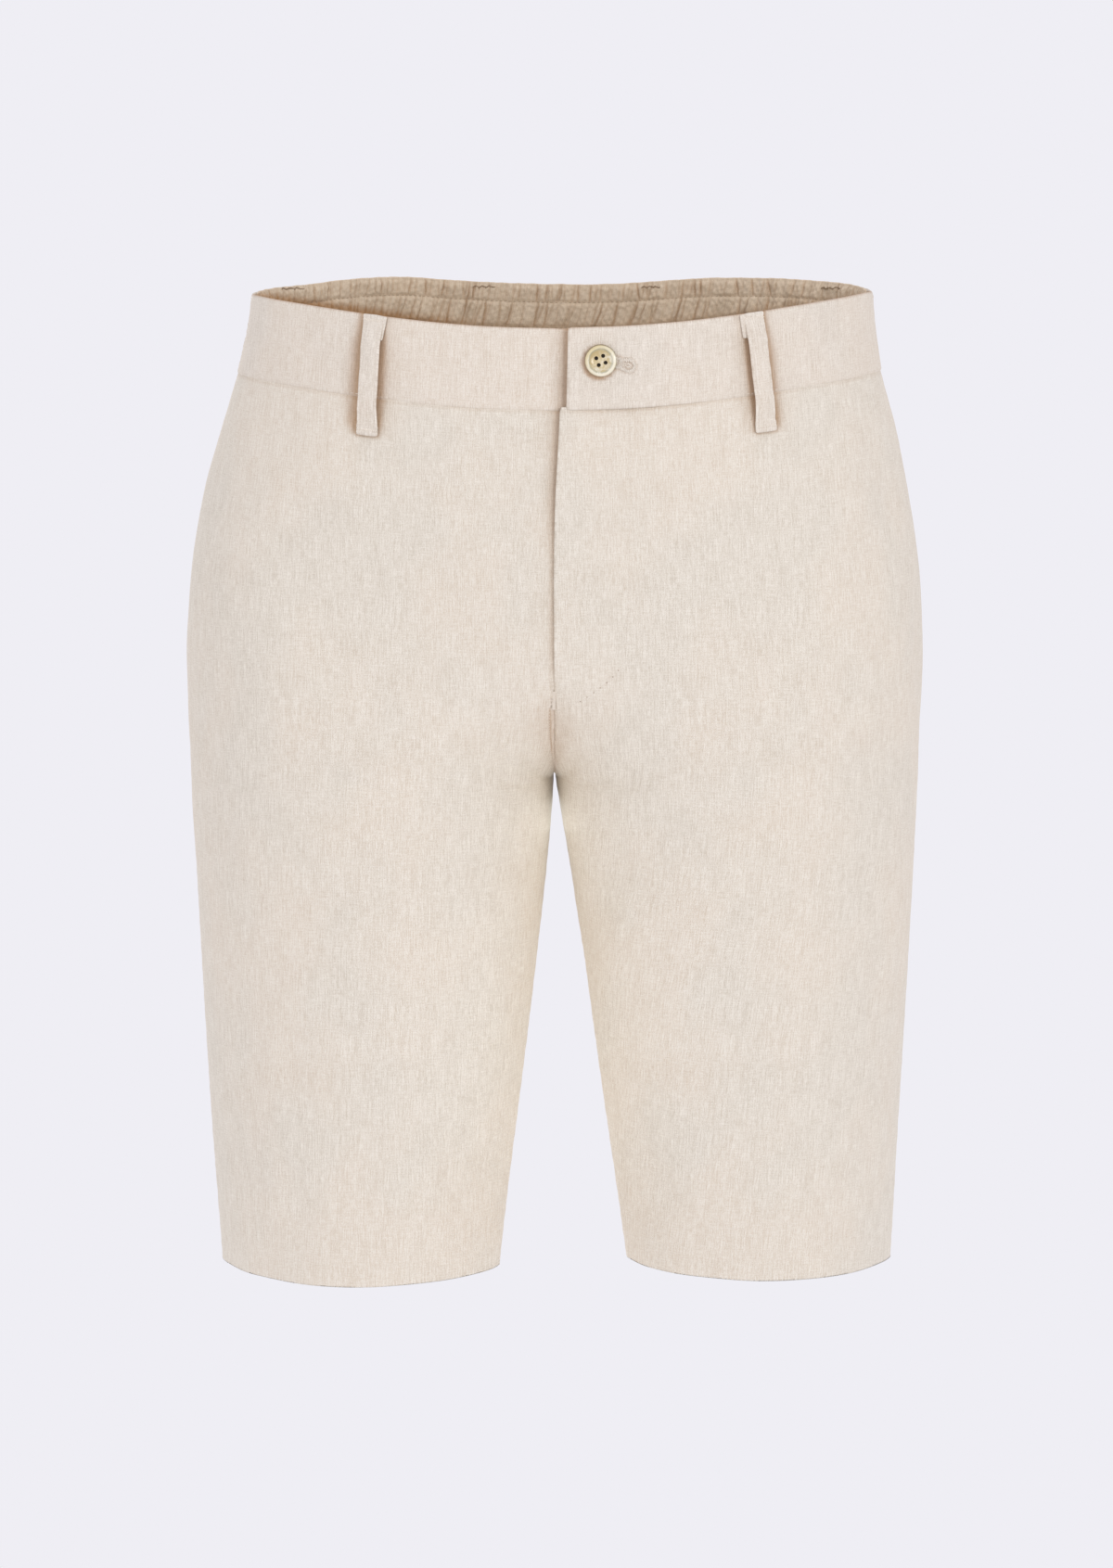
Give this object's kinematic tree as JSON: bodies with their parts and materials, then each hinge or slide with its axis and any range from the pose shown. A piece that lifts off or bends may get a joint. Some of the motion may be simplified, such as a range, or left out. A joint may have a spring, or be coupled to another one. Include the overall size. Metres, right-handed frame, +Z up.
{
  "type": "bermuda shorts",
  "caption": "Knee-length tailored shorts in undyed linen-look cloth, worn shape with no wearer, open at waist and hems, buttoned waistband with belt loops and a gathered elastic back.",
  "frame": {"origin": "middle of the waist, level with the top edge of the waistband at the side seams", "axes": "+Z up, the front faces -Y, +X to the viewer's right seen from the front"},
  "size_m": [0.3785, 0.2511, 0.5132],
  "materials": {
    "leg_cloth": "matte plain weave with slubs, undyed linen colour",
    "band_cloth": "matte plain weave with slubs, slightly warmer",
    "facing_cloth": "matte plain weave, gathered, seen from inside",
    "button": "glossy pale horn"
  },
  "bodies": {
    "root": {"front_left": "leg_cloth", "front_right": "leg_cloth", "back_left": "leg_cloth", "back_right": "leg_cloth", "waistband_front_left": "band_cloth", "waistband_front_right": "band_cloth", "waistband_back": "band_cloth", "waistband_back_facing": "facing_cloth", "belt_loop_1": "band_cloth", "belt_loop_2": "band_cloth", "belt_loop_3": "band_cloth", "belt_loop_4": "band_cloth", "belt_loop_5": "band_cloth", "belt_loop_6": "band_cloth", "button": "button"}
  },
  "joints": []
}
